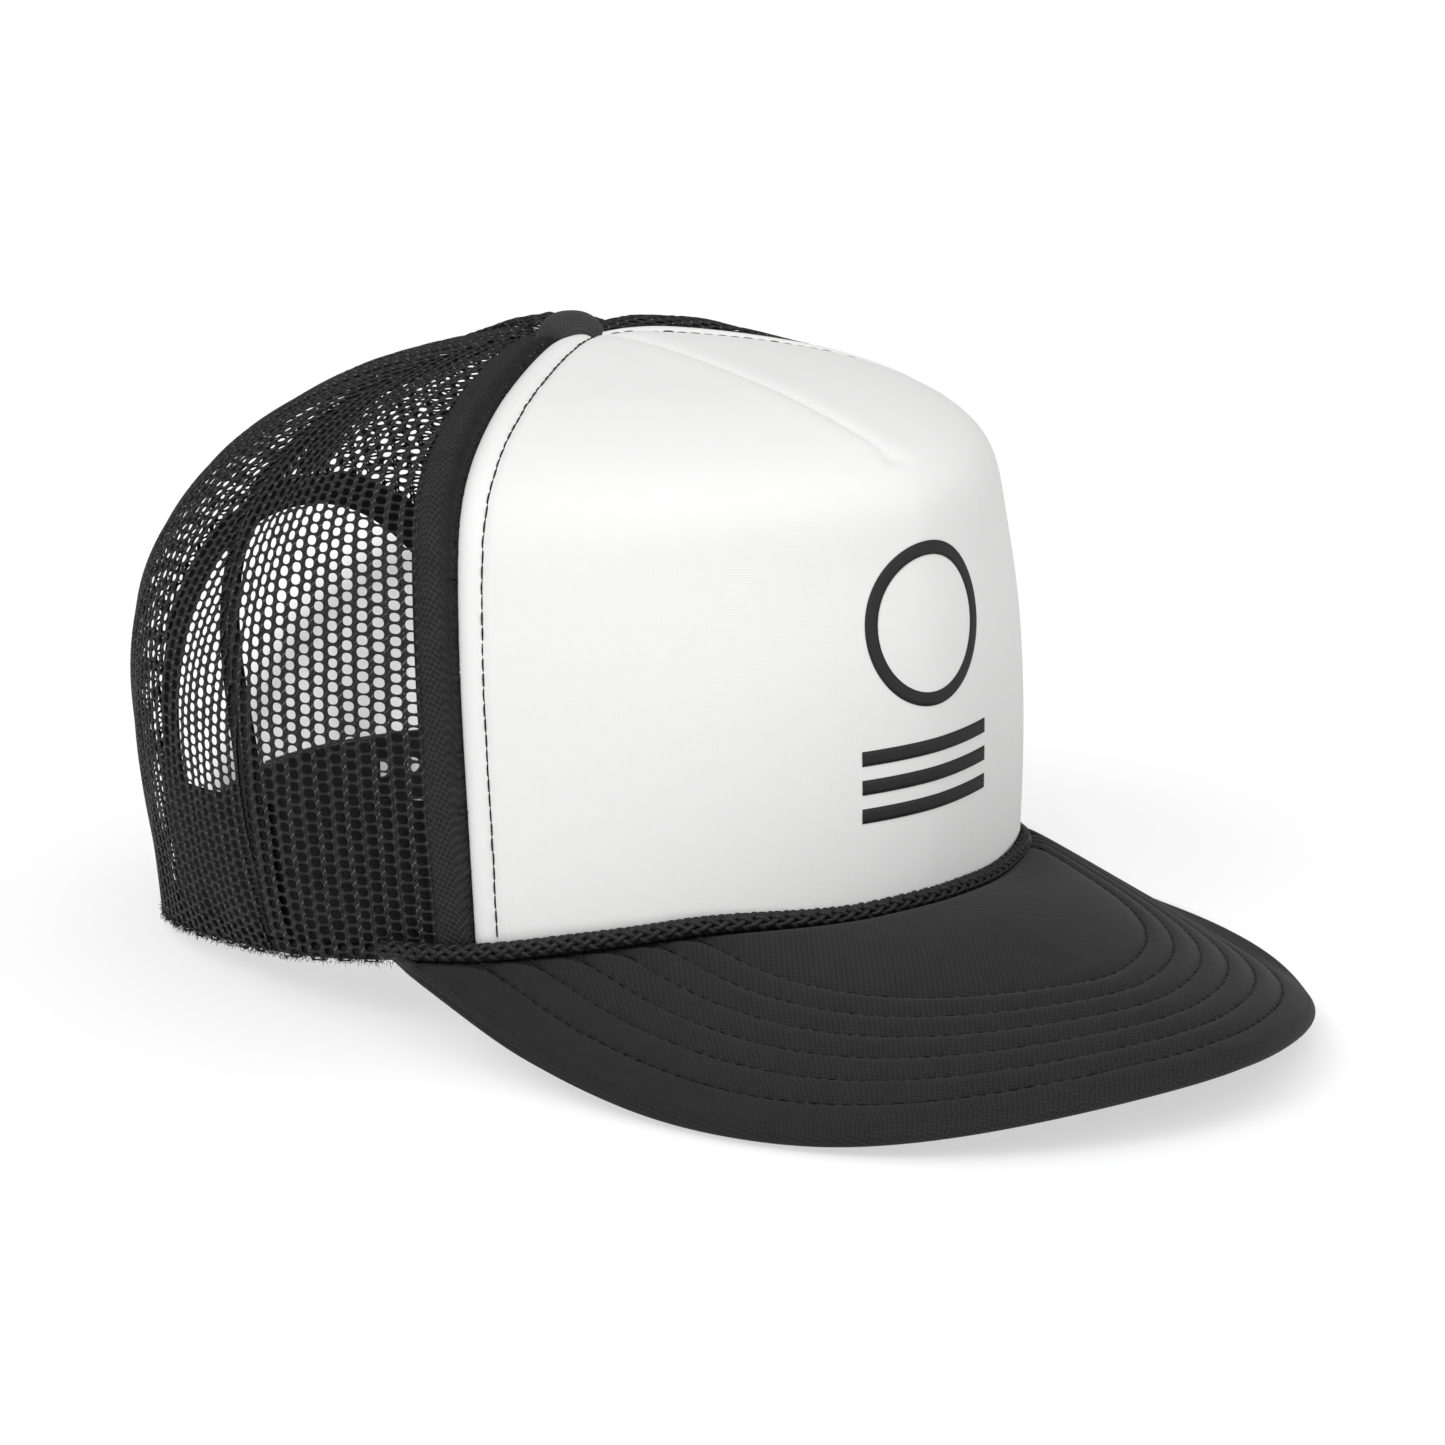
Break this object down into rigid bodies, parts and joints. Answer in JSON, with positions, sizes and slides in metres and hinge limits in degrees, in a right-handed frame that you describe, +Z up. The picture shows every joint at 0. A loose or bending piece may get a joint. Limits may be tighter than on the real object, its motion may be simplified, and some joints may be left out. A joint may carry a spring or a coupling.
{
  "type": "trucker cap",
  "caption": "Trucker cap with a foam front panel, net sides and back, a padded curved bill with a braided rope at its base, and a snap strap across the open back",
  "frame": {"origin": "middle of the cap's bounding box, on the surface that the hem and the bill stand on", "axes": "+Z up, the bill points to -Y, the wearer's left is +X"},
  "size_m": [0.1836, 0.2724, 0.1315],
  "materials": {
    "front_cloth": "smooth knitted face",
    "foam": "open foam",
    "net": "open net",
    "seam_tape": "woven tape",
    "sweatband": "soft woven",
    "rope": "braided, slight sheen",
    "bill_board": "plain sheet",
    "bill_cloth": "fine twill",
    "thread": "spun thread",
    "print_ink": "matt film",
    "button_cloth": "fine weave",
    "button_metal": "plain pressed",
    "strap_plastic": "moulded"
  },
  "bodies": {
    "crown": {"front_panel_face": "front_cloth", "front_panel_foam": "foam", "side_mesh_right": "net", "side_mesh_left": "net", "back_mesh_right": "net", "back_mesh_left": "net", "seam_tape_front_right": "seam_tape", "seam_tape_front_left": "seam_tape", "seam_tape_side_right": "seam_tape", "seam_tape_side_left": "seam_tape", "seam_tape_center_back": "seam_tape", "opening_binding": "seam_tape", "sweatband": "sweatband", "hem_tape": "seam_tape", "rope_braid": "rope", "bill_board": "bill_board", "bill_foam_pad": "foam", "bill_top_cover": "bill_cloth", "bill_under_cover": "bill_cloth", "bill_stitching": "thread", "front_topstitch": "thread", "front_print": "print_ink", "button_cover": "button_cloth", "button_shell": "button_metal", "button_post": "button_metal", "button_washer": "button_metal", "hole_strap_tab": "strap_plastic", "stud_strap_tab": "strap_plastic", "strap_bartacks": "thread"},
    "hole_strap": {"hole_strap": "strap_plastic"},
    "stud_strap": {"stud_strap": "strap_plastic"}
  },
  "joints": [
    {"name": "hole_strap_bend", "type": "hinge", "parent": "crown", "child": "hole_strap", "pos_m": [0.0445, 0.11529, 0.0091], "axis": [0, 0, -1], "range_deg": [0, 45], "stiffness_Nm_per_rad": 0.002},
    {"name": "stud_strap_bend", "type": "hinge", "parent": "crown", "child": "stud_strap", "pos_m": [-0.0445, 0.11304, 0.0091], "axis": [0, 0, -1], "range_deg": [0, 45], "stiffness_Nm_per_rad": 0.002}
  ]
}
